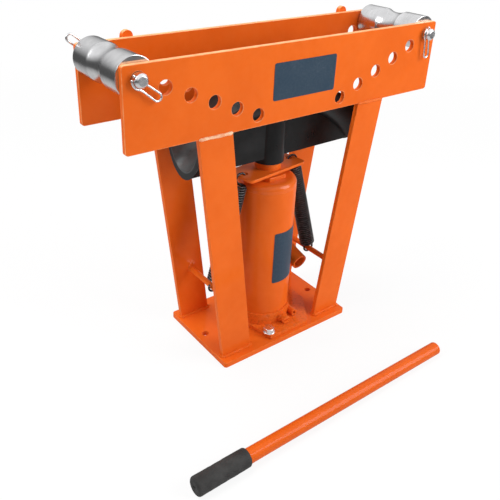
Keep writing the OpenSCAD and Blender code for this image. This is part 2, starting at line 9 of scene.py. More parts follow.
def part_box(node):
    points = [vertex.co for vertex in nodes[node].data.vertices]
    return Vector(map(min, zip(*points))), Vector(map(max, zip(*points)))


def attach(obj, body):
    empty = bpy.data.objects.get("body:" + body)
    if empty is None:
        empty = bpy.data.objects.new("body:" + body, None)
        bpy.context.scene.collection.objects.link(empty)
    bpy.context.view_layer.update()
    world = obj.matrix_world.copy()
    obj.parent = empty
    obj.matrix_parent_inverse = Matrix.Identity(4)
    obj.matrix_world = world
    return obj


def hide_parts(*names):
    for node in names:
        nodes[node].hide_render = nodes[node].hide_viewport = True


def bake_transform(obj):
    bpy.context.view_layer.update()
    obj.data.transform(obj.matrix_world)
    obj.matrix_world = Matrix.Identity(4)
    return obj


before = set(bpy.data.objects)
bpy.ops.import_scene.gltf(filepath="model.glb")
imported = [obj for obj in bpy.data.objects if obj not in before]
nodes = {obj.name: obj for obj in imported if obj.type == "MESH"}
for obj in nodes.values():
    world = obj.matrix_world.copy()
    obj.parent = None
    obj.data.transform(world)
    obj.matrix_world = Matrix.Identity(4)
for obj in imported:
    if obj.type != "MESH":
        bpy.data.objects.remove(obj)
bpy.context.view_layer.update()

# Colours, as linear light
ORANGE = (0.820, 0.142, 0.013, 1)
ORANGE_DEEP = (0.760, 0.124, 0.010, 1)
ORANGE_PALE = (0.900, 0.300, 0.090, 1)
# Pale peach: wear, and a painted highlight on the side plates' tops and edges
ORANGE_SHEEN_AND_WEAR = (0.930, 0.500, 0.240, 1)
ORANGE_GRIME = (0.330, 0.062, 0.008, 1)
# A darker copy of the orange for the handle tube: painted shade, the same paint as elsewhere made darker
HANDLE_SHADED_ORANGE = (0.700, 0.108, 0.008, 1)
HANDLE_SHADED_ORANGE_DEEP = (0.640, 0.094, 0.006, 1)
# Cream painted as a highlight on the weld beads
WELD_GLINT_CREAM = (0.950, 0.700, 0.460, 1)
BLACKED = (0.0035, 0.0036, 0.0040, 1)
# Pale grey painted on the springs' curl crests as a highlight
BLACKED_CREST_HIGHLIGHT = (0.270, 0.275, 0.285, 1)
SLATE = (0.024, 0.050, 0.082, 1)
SLATE_PALE = (0.042, 0.070, 0.102, 1)
IRON = (0.0055, 0.0058, 0.0062, 1)
IRON_PALE = (0.014, 0.0145, 0.0155, 1)
IRON_RUBBED = (0.10, 0.106, 0.108, 1)
SILVER = (0.81, 0.81, 0.82, 1)
SILVER_DARK = (0.59, 0.59, 0.60, 1)
BRIGHT_ZINC = (0.86, 0.87, 0.89, 1)
FOAM = (0.022, 0.0215, 0.021, 1)
FOAM_PALE = (0.050, 0.049, 0.048, 1)
WHITE = (1, 1, 1, 1)


# Nodes of a material's tree

def add(tree, kind, inputs=None, **attributes):
    """A new node: attributes are set on it, inputs are values or the sockets that feed it."""
    made = tree.nodes.new(kind)
    for name, value in attributes.items():
        setattr(made, name, value)
    for name, value in (inputs or {}).items():
        if isinstance(value, bpy.types.NodeSocket):
            tree.links.new(value, made.inputs[name])
        else:
            made.inputs[name].default_value = value
    return made


def start(name):
    """A new material with its tree, its shader and the coordinates of the piece at rest."""
    material = bpy.data.materials.new(name)
    material.use_nodes = True
    tree = material.node_tree
    place = add(tree, "ShaderNodeTexCoord").outputs["Object"]
    return material, tree, tree.nodes["Principled BSDF"], place


def stretched(tree, place, scale):
    return add(tree, "ShaderNodeMapping", {"Vector": place, "Scale": scale}).outputs["Vector"]


def grain(tree, place, scale, detail=3.0, roughness=0.55):
    inputs = {"Vector": place, "Scale": scale, "Detail": detail, "Roughness": roughness}
    return add(tree, "ShaderNodeTexNoise", inputs).outputs["Fac"]


def cells(tree, place, scale):
    inputs = {"Vector": place, "Scale": scale, "Randomness": 1.0}
    return add(tree, "ShaderNodeTexVoronoi", inputs).outputs["Distance"]


def ranged(tree, value, low, high, to_low=0.0, to_high=1.0):
    inputs = {"Value": value, "From Min": low, "From Max": high, "To Min": to_low, "To Max": to_high}
    return add(tree, "ShaderNodeMapRange", inputs, clamp=True).outputs["Result"]


def math_node(tree, operation, a, b):
    return add(tree, "ShaderNodeMath", {0: a, 1: b}, operation=operation).outputs["Value"]


def parts_of(tree, vector):
    return add(tree, "ShaderNodeSeparateXYZ", {0: vector}).outputs


def length_of(tree, vector):
    return add(tree, "ShaderNodeVectorMath", {0: vector}, operation="LENGTH").outputs["Value"]


def upward_share(tree):
    """How far a face looks up: 1 on a level top and 0 on an upright side."""
    normal = add(tree, "ShaderNodeNewGeometry").outputs["Normal"]
    return parts_of(tree, normal)["Z"]


def mixed(tree, factor, a, b):
    inputs = {0: factor, 6: a, 7: b}
    return add(tree, "ShaderNodeMix", inputs, data_type="RGBA").outputs[2]


def bumped(tree, shader, height, strength, distance, under=None):
    inputs = {"Height": height, "Strength": strength, "Distance": distance}
    if under is not None:
        inputs["Normal"] = under
    normal = add(tree, "ShaderNodeBump", inputs).outputs["Normal"]
    tree.links.new(normal, shader.inputs["Normal"])
    return normal


def feed(tree, shader, **sockets):
    for name, socket in sockets.items():
        tree.links.new(socket, shader.inputs[name.replace("_", " ").title()])


# Paint: NOISE is scale, detail and roughness, SPAN is from and to, BUMP is strength and distance

COVER_NOISE = (11.0, 4.0)
COVER_SPAN = (0.36, 0.66)
SCUFF_STRETCH = (60.0, 60.0, 900.0)
SCUFF_NOISE = (1.0, 5.0, 0.7)
SCUFF_SPAN = (0.66, 0.74)
PATCH_NOISE = (7.0, 2.0)
PATCH_SPAN = (0.52, 0.70, 0.0, 0.35)
# Where the paint turns paler: thinning by wear, and on some finishes a painted highlight
WEAR_AND_SHEEN_NOISE = (90.0, 4.0, 0.65)
WEAR_AND_SHEEN_SPAN = (0.30, 0.62)
# Mask of the painted highlight and wear on the side plates' level tops
TOP_SHEEN_AND_WEAR_SLOPES = (0.45, 0.85)
TOP_SHEEN_AND_WEAR_HEIGHTS = (0.515, 0.527)
TOP_SHEEN_AND_WEAR_NOISE = (55.0, 5.0, 0.7)
TOP_SHEEN_AND_WEAR_SPAN = (0.30, 0.60, 0.45, 0.95)
GLOSS_NOISE = (34.0, 4.0)
GLOSS_SPAN = (0.3, 0.7, 0.30, 0.44)
PAINT_SPECULAR = 0.03
PAINT_COAT = 0.16
PAINT_COAT_ROUGHNESS = 0.08
WAVE_NOISE = (42.0, 2.0)
WAVE_BUMP = (0.10, 0.0012)
PEEL_NOISE = (620.0, 2.0)
PEEL_BUMP = (0.10, 0.00025)
NIB_NOISE = (260.0, 1.0)
NIB_SPAN = (0.70, 0.78)
NIB_BUMP = (0.25, 0.0002)
SAND_NOISE = (210.0, 5.0, 0.75)
SAND_GRIME_SPAN = (0.34, 0.50, 0.45, 0.0)
SAND_STRENGTH = 0.55


def sprayed_colour(tree, place, wear_and_sheen_span, wear_and_sheen_colour, tones):
    """Uneven cover between two tones, with light scuffs in patches and paler places: where the paint thins,
    and on the weld beads and plate edges also a painted highlight.
    """
    colour = mixed(tree, ranged(tree, grain(tree, place, *COVER_NOISE), *COVER_SPAN), *tones)
    scuff = grain(tree, stretched(tree, place, SCUFF_STRETCH), *SCUFF_NOISE)
    patch = ranged(tree, grain(tree, place, *PATCH_NOISE), *PATCH_SPAN)
    scuff = math_node(tree, "MULTIPLY", ranged(tree, scuff, *SCUFF_SPAN), patch)
    colour = mixed(tree, scuff, colour, ORANGE_PALE)
    wear_and_sheen_mask = ranged(tree, grain(tree, place, *WEAR_AND_SHEEN_NOISE), *WEAR_AND_SHEEN_SPAN, *wear_and_sheen_span)
    return mixed(tree, wear_and_sheen_mask, colour, wear_and_sheen_colour)


def top_sheen_and_wear(tree, place):
    """Share of wear and painted highlight on the level top edges of the side plates: faces that look up are
    painted paler, as a sheen from the light above.
    """
    slope = ranged(tree, upward_share(tree), *TOP_SHEEN_AND_WEAR_SLOPES)
    height = ranged(tree, parts_of(tree, place)["Z"], *TOP_SHEEN_AND_WEAR_HEIGHTS)
    speckle = ranged(tree, grain(tree, place, *TOP_SHEEN_AND_WEAR_NOISE), *TOP_SHEEN_AND_WEAR_SPAN)
    return math_node(tree, "MULTIPLY", math_node(tree, "MULTIPLY", slope, height), speckle)


def paint_skin(tree, shader, place):
    """Slow waves, fine orange peel and dust nibs."""
    wave = bumped(tree, shader, grain(tree, place, *WAVE_NOISE), *WAVE_BUMP)
    peel = bumped(tree, shader, grain(tree, place, *PEEL_NOISE), *PEEL_BUMP, wave)
    nibs = ranged(tree, grain(tree, place, *NIB_NOISE), *NIB_SPAN)
    return bumped(tree, shader, nibs, *NIB_BUMP, peel)


def paint(name, wear_and_sheen_span, wear_and_sheen_colour=ORANGE_PALE, tones=(ORANGE_DEEP, ORANGE), coat=PAINT_COAT, cast=0.0):
    """Sprayed enamel. Its span is the least and most that its cover turns to its paler colour, in patches:
    thinned paint, and on the weld beads and plate edges also a painted highlight.

    Cast is the depth of a sand casting's skin under the paint, whose pits hold grime."""
    material, tree, shader, place = start(name)
    colour = sprayed_colour(tree, place, wear_and_sheen_span, wear_and_sheen_colour, tones)
    # Painted highlight and wear: the side plates' level top faces turn paler
    colour = mixed(tree, top_sheen_and_wear(tree, place), colour, ORANGE_SHEEN_AND_WEAR)
    skin = paint_skin(tree, shader, place)
    if cast:
        sand = grain(tree, place, *SAND_NOISE)
        colour = mixed(tree, ranged(tree, sand, *SAND_GRIME_SPAN), colour, ORANGE_GRIME)
        bumped(tree, shader, sand, SAND_STRENGTH, cast, skin)
    gloss = ranged(tree, grain(tree, place, *GLOSS_NOISE), *GLOSS_SPAN)
    feed(tree, shader, base_color=colour, roughness=gloss)
    shader.inputs["Specular IOR Level"].default_value = PAINT_SPECULAR
    shader.inputs["Coat Weight"].default_value = coat
    shader.inputs["Coat Roughness"].default_value = PAINT_COAT_ROUGHNESS
    return material


# Bare and plated metal

LINE_NOISE = (1.0, 4.0, 0.6)
LINE_SHARE = 0.45
LINE_BUMP = (0.12, 0.00012)
BLOTCH_DETAIL = 5.0
BLOTCH_ROUGHNESS = 0.62
BLOTCH_SHARE = 0.55
BLOTCH_BUMP = (0.12, 0.0006)
TONE_SPAN = (0.36, 0.62)
METAL_GLOSS_SPAN = (0.35, 0.65)
ROUGHER = 0.10
SMOOTHER = 0.05


def metal(name, pale, dark, gloss, brush, blotch):
    """Bare or plated metal: brush stretches its fine lines, and blotches vary the tone and the gloss."""
    material, tree, shader, place = start(name)
    lines = grain(tree, stretched(tree, place, brush), *LINE_NOISE)
    cloud = grain(tree, place, blotch, BLOTCH_DETAIL, BLOTCH_ROUGHNESS)
    line_tone = math_node(tree, "MULTIPLY", lines, LINE_SHARE)
    tone = math_node(tree, "ADD", line_tone, math_node(tree, "MULTIPLY", cloud, BLOTCH_SHARE))
    feed(tree, shader, base_color=mixed(tree, ranged(tree, tone, *TONE_SPAN), dark, pale))
    rough = ranged(tree, tone, *METAL_GLOSS_SPAN, gloss + ROUGHER, gloss - SMOOTHER)
    feed(tree, shader, roughness=rough)
    shader.inputs["Metallic"].default_value = 1.0
    dents = bumped(tree, shader, cloud, *BLOTCH_BUMP)
    bumped(tree, shader, lines, *LINE_BUMP, dents)
    return material


# Black casting, with the die's trough as a part of a ring about its centre

RIM_RADIUS = 0.262
DIE_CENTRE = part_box("bending_die")[1].z - RIM_RADIUS
GROOVE_RADIUS = 0.039
GROOVE_CENTRE = 0.261
GROOVE_BLUR = 0.0008
IRON_CLOUD_NOISE = (21.0, 4.0, 0.6)
IRON_TONE_SPAN = (0.42, 0.72)
IRON_RUB_SPAN = (0.30, 0.62, 0.35, 1.0)
IRON_RUB_METAL = 0.5
IRON_GLOSS_SPAN = (0.3, 0.7, 0.26, 0.42)
IRON_SPECULAR = 0.24
IRON_PIT_SCALE = 130.0
IRON_PIT_SPAN = (0.05, 0.28)
IRON_PIT_BUMP = (0.16, 0.0004)
IRON_WAVE_BUMP = (0.30, 0.0016)
IRON_SKIN_NOISE = (420.0, 4.0, 0.7)
IRON_SKIN_BUMP = (0.22, 0.00022)


def groove_share(tree, place):
    """One on the face of the die's groove, and nothing elsewhere."""
    parts = parts_of(tree, place)
    rise = math_node(tree, "SUBTRACT", parts["Z"], DIE_CENTRE)
    spoke = add(tree, "ShaderNodeCombineXYZ", {"X": parts["X"], "Y": rise}).outputs[0]
    out = math_node(tree, "SUBTRACT", length_of(tree, spoke), GROOVE_CENTRE)
    ring = add(tree, "ShaderNodeCombineXYZ", {"X": out, "Y": parts["Y"]}).outputs[0]
    edge = GROOVE_RADIUS + GROOVE_BLUR
    return ranged(tree, length_of(tree, ring), edge, edge + GROOVE_BLUR, 1.0, 0.0)


def casting(name):
    """Black enamel on a sand casting: grainy skin, shallow pits, and a groove rubbed paler by pipes."""
    material, tree, shader, place = start(name)
    cloud = grain(tree, place, *IRON_CLOUD_NOISE)
    colour = mixed(tree, ranged(tree, cloud, *IRON_TONE_SPAN), IRON, IRON_PALE)
    rub_and_glint = math_node(tree, "MULTIPLY", groove_share(tree, place), ranged(tree, cloud, *IRON_RUB_SPAN))
    feed(tree, shader, base_color=mixed(tree, rub_and_glint, colour, IRON_RUBBED))
    feed(tree, shader, roughness=ranged(tree, cloud, *IRON_GLOSS_SPAN))
    feed(tree, shader, metallic=math_node(tree, "MULTIPLY", rub_and_glint, IRON_RUB_METAL))
    shader.inputs["Specular IOR Level"].default_value = IRON_SPECULAR
    pits = ranged(tree, cells(tree, place, IRON_PIT_SCALE), *IRON_PIT_SPAN)
    pitted = bumped(tree, shader, pits, *IRON_PIT_BUMP)
    waved = bumped(tree, shader, cloud, *IRON_WAVE_BUMP, pitted)
    bumped(tree, shader, grain(tree, place, *IRON_SKIN_NOISE), *IRON_SKIN_BUMP, waved)
    return material


# Spring steel

STREAK_NOISE = (700.0, 3.0)
STREAK_GLOSS_SPAN = (0.3, 0.7, 0.24, 0.40)
STREAK_BUMP = (0.15, 0.0001)
# Slopes of the wire that take the painted highlight
CREST_FOOT = (0.22, 0.36)
CREST_TOP = (0.70, 0.56)
SPOT_NOISE = (260.0, 2.0)
SPOT_SPAN = (0.36, 0.60, 0.25, 1.0)
WIRE_SPECULAR = 0.20
WIRE_COAT = 0.12
WIRE_COAT_ROUGHNESS = 0.12


def spring_steel(name):
    """Oil-blackened wire: the crest of each curl is painted bright in spots as a highlight, the rest stays
    black.
    """
    material, tree, shader, place = start(name)
    streak = grain(tree, place, *STREAK_NOISE)
    upward = upward_share(tree)
    foot = ranged(tree, upward, *CREST_FOOT)
    crest = math_node(tree, "MULTIPLY", foot, ranged(tree, upward, *CREST_TOP))
    spots = ranged(tree, grain(tree, place, *SPOT_NOISE), *SPOT_SPAN)
    # Painted highlight: pale spots on the upward crest of each curl
    rub_and_glint = math_node(tree, "MULTIPLY", crest, spots)
    feed(tree, shader, base_color=mixed(tree, rub_and_glint, BLACKED, BLACKED_CREST_HIGHLIGHT))
    feed(tree, shader, roughness=ranged(tree, streak, *STREAK_GLOSS_SPAN))
    shader.inputs["Specular IOR Level"].default_value = WIRE_SPECULAR
    shader.inputs["Coat Weight"].default_value = WIRE_COAT
    shader.inputs["Coat Roughness"].default_value = WIRE_COAT_ROUGHNESS
    bumped(tree, shader, streak, *STREAK_BUMP)
    return material


# Foam and rubber

CELL_SCALE = 900.0
CELL_BUMP = (0.35, 0.0003)
LUMP_NOISE = (48.0, 5.0, 0.65)
LUMP_TONE_SPAN = (0.40, 0.74)
LUMP_GLOSS_SPAN = (0.3, 0.7, 0.62, 0.82)
LUMP_BUMP = (0.30, 0.0008)
FOAM_SPECULAR = 0.35


def foam(name, pale):
    """Closed-cell foam rubber: fine cells, a dull skin and lighter rubbed spots."""
    material, tree, shader, place = start(name)
    cloud = grain(tree, place, *LUMP_NOISE)
    feed(tree, shader, base_color=mixed(tree, ranged(tree, cloud, *LUMP_TONE_SPAN), FOAM, pale))
    feed(tree, shader, roughness=ranged(tree, cloud, *LUMP_GLOSS_SPAN))
    shader.inputs["Specular IOR Level"].default_value = FOAM_SPECULAR
    lumps = bumped(tree, shader, cloud, *LUMP_BUMP)
    bumped(tree, shader, cells(tree, place, CELL_SCALE), *CELL_BUMP, lumps)
    return material


# Label vinyl

SPECKLE_NOISE = (240.0, 4.0, 0.7)
SPECKLE_SPAN = (0.40, 0.72)
SPECKLE_BUMP = (0.08, 0.00008)
VINYL_NOISE = (30.0, 3.0)
VINYL_TONE_SPAN = (0.3, 0.7, 0.35, 1.0)
VINYL_GLOSS_SPAN = (0.3, 0.7, 0.34, 0.48)
VINYL_BUMP = (0.10, 0.0004)
VINYL_SPECULAR = 0.25


def label_vinyl(name):
    """Slate-blue vinyl with a satin face and a little speckle."""
    material, tree, shader, place = start(name)
    speckle = grain(tree, place, *SPECKLE_NOISE)
    cloud = grain(tree, place, *VINYL_NOISE)
    patch = ranged(tree, cloud, *VINYL_TONE_SPAN)
    tone = math_node(tree, "MULTIPLY", ranged(tree, speckle, *SPECKLE_SPAN), patch)
    feed(tree, shader, base_color=mixed(tree, tone, SLATE, SLATE_PALE))
    feed(tree, shader, roughness=ranged(tree, cloud, *VINYL_GLOSS_SPAN))
    shader.inputs["Specular IOR Level"].default_value = VINYL_SPECULAR
    waves = bumped(tree, shader, cloud, *VINYL_BUMP)
    bumped(tree, shader, speckle, *SPECKLE_BUMP, waves)
    return material


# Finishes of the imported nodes

EVEN = (0.0, 0.05)
# Painted shade: the handle's darker copy of the orange tones
HANDLE_SHADED_TONES = (HANDLE_SHADED_ORANGE_DEEP, HANDLE_SHADED_ORANGE)
ENAMEL = paint("orange_enamel", wear_and_sheen_span=EVEN)
WORN_ENAMEL = paint("orange_enamel_edge", wear_and_sheen_span=(0.0, 0.30))
# Side plates' rounded edges: pale peach patches, as wear and as a painted highlight of the edges catching the
# light
PLATE_EDGE_SHEEN_ENAMEL = paint("orange_enamel_plate_edge_sheen", wear_and_sheen_span=(0.06, 0.44), wear_and_sheen_colour=ORANGE_SHEEN_AND_WEAR)
# Cream patches on the weld beads are a painted highlight
WELD_GLINT_ENAMEL = paint("orange_enamel_weld_glint", wear_and_sheen_span=(0.05, 0.95), wear_and_sheen_colour=WELD_GLINT_CREAM)
GLOSS_ENAMEL = paint("orange_enamel_gloss", wear_and_sheen_span=EVEN, coat=0.5)
# Handle tube in the darker copy of the orange: painted shade
HANDLE_SHADED_ENAMEL = paint("orange_enamel_handle_shaded", wear_and_sheen_span=EVEN, tones=HANDLE_SHADED_TONES, coat=0.22)
CAST_ENAMEL = paint("orange_enamel_casting", wear_and_sheen_span=(0.0, 0.10), coat=0.3, cast=0.0012)
ROLLER_STEEL = metal("roller_steel", SILVER, SILVER_DARK, gloss=0.19, brush=(70.0, 1600.0, 70.0), blotch=24.0)
ZINC = metal("bright_zinc", BRIGHT_ZINC, SILVER, gloss=0.22, brush=(300.0, 300.0, 300.0), blotch=90.0)
CHROME = metal("ground_steel", BRIGHT_ZINC, SILVER, gloss=0.16, brush=(60.0, 60.0, 1500.0), blotch=40.0)
CAST_IRON = casting("black_casting")
SPRING_STEEL = spring_steel("black_spring_steel")
GRIP_FOAM = foam("grip_foam", pale=FOAM_PALE)
RUBBER = foam("black_rubber", pale=FOAM)
VINYL = label_vinyl("slate_vinyl")

PAINTED = [
    "base_plate", "left_rear_lug", "right_rear_lug",
    "front_left_leg", "front_right_leg", "rear_left_leg", "rear_right_leg",
    "left_spring_bar", "right_spring_bar", "reservoir_tube", "spring_bracket", "handle_socket",
    "fulcrum_post", "release_valve",
]
SIDE_PLATES = ["front_side_plate", "rear_side_plate"]
GLOSSY = ["reservoir_cap", "gland_nut"]
PAINTED_CASTINGS = ["jack_base", "pump_body"]
FINISHES = {
    "ram": CHROME, "piston": CHROME, "pressure_tube": CHROME, "pump_plunger": CHROME,
    "bending_die": CAST_IRON, "filler_plug": RUBBER,
    "left_roller": ROLLER_STEEL, "right_roller": ROLLER_STEEL,
    "left_roller_pin": ZINC, "right_roller_pin": ZINC,
    "left_front_clip": ZINC, "left_rear_clip": ZINC, "right_front_clip": ZINC, "right_rear_clip": ZINC,
    "plunger_pin": ZINC, "fulcrum_pin": ZINC,
    "front_jack_bolt": ZINC, "rear_jack_bolt": ZINC,
    "left_spring": SPRING_STEEL, "right_spring": SPRING_STEEL, "handle_grip": GRIP_FOAM,
}
WIRE_NODES = ["left_front_clip", "left_rear_clip", "right_front_clip", "right_rear_clip"]
CLAMPED_NODES = ["pump_plunger", "handle_socket", "release_valve", "pump_body", "jack_base", "bending_die"]
WELD_DISTANCE = 0.00001
WIRE_LEVELS = 2
FLAT_ANGLE = math.radians(0.5)
EDGE_WIDTH = 0.0007
PLATE_EDGE_WIDTH = 0.0010
EDGE_SEGMENTS = 2
EDGE_ANGLE = math.radians(32)


def soften_edges(obj, width, clamped):
    """Joins flat faces, then rounds sharp edges, which take the node's second material."""
    flat = obj.modifiers.new("flat", "DECIMATE")
    flat.decimate_type = "DISSOLVE"
    flat.angle_limit = FLAT_ANGLE
    bevel = obj.modifiers.new("edges", "BEVEL")
    bevel.width = width
    bevel.segments = EDGE_SEGMENTS
    bevel.limit_method = "ANGLE"
    bevel.angle_limit = EDGE_ANGLE
    bevel.use_clamp_overlap = clamped
    bevel.loop_slide = False
    bevel.material = 1
    normals = obj.modifiers.new("normals", "WEIGHTED_NORMAL")
    normals.keep_sharp = True


def finish_node(name, face, edge, width=EDGE_WIDTH):
    """Gives a node its two materials, and rounds it: a wire all over, anything else at its edges."""
    obj = nodes[name]
    obj.data.materials.clear()
    obj.data.materials.append(face)
    obj.data.materials.append(edge)
    weld = obj.modifiers.new("weld", "WELD")
    weld.merge_threshold = WELD_DISTANCE
    if name in WIRE_NODES:
        smooth = obj.modifiers.new("round", "SUBSURF")
        smooth.levels = WIRE_LEVELS
        smooth.render_levels = WIRE_LEVELS
    else:
        soften_edges(obj, width, name in CLAMPED_NODES)


for painted in PAINTED:
    finish_node(painted, ENAMEL, WORN_ENAMEL)
for plate in SIDE_PLATES:
    finish_node(plate, ENAMEL, PLATE_EDGE_SHEEN_ENAMEL, PLATE_EDGE_WIDTH)
for glossy in GLOSSY:
    finish_node(glossy, GLOSS_ENAMEL, WORN_ENAMEL)
finish_node("handle_tube", HANDLE_SHADED_ENAMEL, WORN_ENAMEL)
for rough in PAINTED_CASTINGS:
    finish_node(rough, CAST_ENAMEL, CAST_ENAMEL)
for plain, finish in FINISHES.items():
    finish_node(plain, finish, finish)


# Shapes

FIRST_NORMAL = Vector((0.21, 0.94, 0.27))


def piece(name, points, faces, material, body=None, smooth=True):
    """A new mesh piece with the given finish, which rides on a body when one is named."""
    mesh = bpy.data.meshes.new(name)
    mesh.from_pydata([tuple(p) for p in points], [], faces)
    work = bmesh.new()
    work.from_mesh(mesh)
    bmesh.ops.recalc_face_normals(work, faces=work.faces)
    work.to_mesh(mesh)
    work.free()
    mesh.materials.append(material)
    mesh.polygons.foreach_set("use_smooth", [smooth] * len(mesh.polygons))
    obj = bpy.data.objects.new(name, mesh)
    bpy.context.scene.collection.objects.link(obj)
    if body:
        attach(obj, body)
    return obj


def circle(sides):
    """Angles of equal steps once round."""
    return [math.tau * k / sides for k in range(sides)]


def rings_mesh(rings, closed=False):
    """Points and faces of a tube through equal rings of points, capped where it is open."""
    sides = len(rings[0])
    points = [p for ring in rings for p in ring]
    faces = []
    last = len(rings) if closed else len(rings) - 1
    for i in range(last):
        near = i * sides
        far = (i + 1) % len(rings) * sides
        for k in range(sides):
            after = (k + 1) % sides
            faces.append((near + k, near + after, far + after, far + k))
    if not closed:
        faces.append(tuple(reversed(range(sides))))
        faces.append(tuple(range(last * sides, (last + 1) * sides)))
    return points, faces


def wire_rings(path, radius, sides):
    """Round rings along a path, carried along it without twist."""
    rings = []
    normal = FIRST_NORMAL
    for i, point in enumerate(path):
        ahead = (path[min(i + 1, len(path) - 1)] - path[max(i - 1, 0)]).normalized()
        normal = (normal - ahead * normal.dot(ahead)).normalized()
        side = ahead.cross(normal)
        rings.append([point + radius * (math.cos(a) * normal + math.sin(a) * side) for a in circle(sides)])
    return rings


def turned(profile, sides):
    """Rings about Z through a profile of (radius, height) points."""
    return [[Vector((r * math.cos(a), r * math.sin(a), z)) for a in circle(sides)] for r, z in profile]


# Return springs: a hook, the coil and a hook in one wire

SPRING_WIRE = 0.0018
SPRING_COIL = 0.0122
SPRING_CURLS = 40
HOOK_RADIUS = 0.009
HOOK_STEPS = 36
HOOK_ARC = math.radians(270)
SWEEP_STEPS = 18
BAR_GAP = 0.0003
EAR_ROOM = 0.0007
RIGHT_HOOK_PLACE = 0.0
LEFT_HOOK_PLACE = -0.009
EAR_STRIP = 0.0035
EAR_REACH = 0.062
BRACKET_THICKNESS = 0.005
BRACKET_TURN = math.radians(7)
RINGS_PER_CURL = 20
WIRE_SIDES = 10


def hook_points(pitch):
    """End hook: a straight tip, three quarters of a ring, then a sweep out to the coil."""
    points = [Vector((HOOK_RADIUS, 0, 2 * SPRING_WIRE))]
    for step in range(HOOK_STEPS + 1):
        a = math.tau - HOOK_ARC * step / HOOK_STEPS
        points.append(HOOK_RADIUS * Vector((math.cos(a), 0, math.sin(a))))
    for step in range(1, SWEEP_STEPS):
        a = math.pi / 2 * step / SWEEP_STEPS
        r = SPRING_COIL * math.sin(a)
        points.append(Vector((r * math.cos(a), r * math.sin(a), HOOK_RADIUS + pitch * a / math.pi)))
    return points


def spring_points(length):
    pitch = (length - 2 * HOOK_RADIUS) / (SPRING_CURLS + 1)
    lower = hook_points(pitch)
    coil = []
    for i in range(SPRING_CURLS * RINGS_PER_CURL + 1):
        a = math.pi / 2 + math.tau * i / RINGS_PER_CURL
        z = HOOK_RADIUS + pitch * (0.5 + i / RINGS_PER_CURL)
        coil.append(Vector((SPRING_COIL * math.cos(a), SPRING_COIL * math.sin(a), z)))
    upper = [Vector((-p.x, p.y, length - p.z)) for p in reversed(lower)]
    return lower + coil + upper


def spring_ends(place):
    """Middles of the hooks of the right spring: round its bar, at a place along it, and round its ear."""
    bar_low, bar_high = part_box("right_spring_bar")
    bar = (bar_low + bar_high) / 2
    ear_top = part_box("spring_bracket")[0].z + BRACKET_THICKNESS
    inner = HOOK_RADIUS - SPRING_WIRE
    rise = math.sqrt(inner ** 2 - (EAR_STRIP + EAR_ROOM) ** 2)
    foot = Vector((bar.x, place, bar.z + inner - (bar_high.z - bar.z) - BAR_GAP))
    ear = EAR_REACH * Vector((math.cos(BRACKET_TURN), math.sin(BRACKET_TURN), 0))
    return foot, ear + Vector((0, 0, ear_top - rise))


def return_spring(name, place, turn):
    """Spring from its bar to its ear on the bracket; turn is half a turn on the left."""
    foot, head = spring_ends(place)
    climb = head - foot
    lean = Matrix.Rotation(-math.atan2(math.hypot(climb.x, climb.y), climb.z), 4, "Y")
    heading = Matrix.Rotation(math.atan2(-climb.y, -climb.x), 4, "Z")
    side = Matrix.Rotation(turn, 4, "Z")
    stand = side @ Matrix.Translation(foot) @ heading @ lean
    path = [stand @ p for p in spring_points(climb.length)]
    points, faces = rings_mesh(wire_rings(path, SPRING_WIRE, WIRE_SIDES))
    obj = piece(name + "_wire", points, faces, SPRING_STEEL)
    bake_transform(obj)
    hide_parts(name)


return_spring("right_spring", RIGHT_HOOK_PLACE, 0.0)
return_spring("left_spring", -LEFT_HOOK_PLACE, math.pi)


# Weld beads

BEAD_STEP = 0.0008
BEAD_SIDES = 12
BEAD_RIPPLE = 0.0032
RIPPLE_SHARE = 0.13
UNEVEN_SHARE = 0.45
UNEVEN_SCALE = 90.0
WANDER_SHARE = 0.25
WANDER_SCALE = 160.0
TAPER_REACH = 1.5
TAPER_TIP = 0.02
BUTT_ACROSS = 0.0024
BUTT_HIGH = 0.0017
FILLET = 0.0036
BAR_FILLET = 0.00216
RING_STEPS = 28


def bead_ring(point, here, ahead, outward, across, high, taper):
    """One ring of a bead, at a run along it: its size ripples, and its middle wanders to the sides."""
    ripple = RIPPLE_SHARE * math.sin(math.tau * here / BEAD_RIPPLE)
    swell = taper * (1 + ripple + UNEVEN_SHARE * noise.noise(point * UNEVEN_SCALE))
    side = ahead.cross(outward).normalized()
    centre = point + side * across * WANDER_SHARE * noise.noise(point * WANDER_SCALE)
    wide = side * across * swell
    tall = outward * high * swell
    return [centre + wide * math.cos(t) + tall * math.sin(t) for t in circle(BEAD_SIDES)]


def bead(name, path, across, high, up, material, closed=False):
    """Rippled bead along a straight-sided path; up points out of the surface that it lies on."""
    corners = path + [path[0]] if closed else path
    total = sum((b - a).length for a, b in zip(corners, corners[1:]))
    rings = []
    run = 0.0
    for a, b in zip(corners, corners[1:]):
        length = (b - a).length
        steps = max(2, int(length / BEAD_STEP))
        ends_here = not closed and b == corners[-1]
        for i in range(steps + ends_here):
            point = a.lerp(b, i / steps)
            here = run + length * i / steps
            tip = math.sqrt(min(here, total - here) / (TAPER_REACH * across) + TAPER_TIP)
            taper = 1.0 if closed else min(1.0, tip)
            rings.append(bead_ring(point, here, (b - a).normalized(), up(point), across, high, taper))
        run += length
    points, faces = rings_mesh(rings, closed)
    piece(name, points, faces, material, "frame")


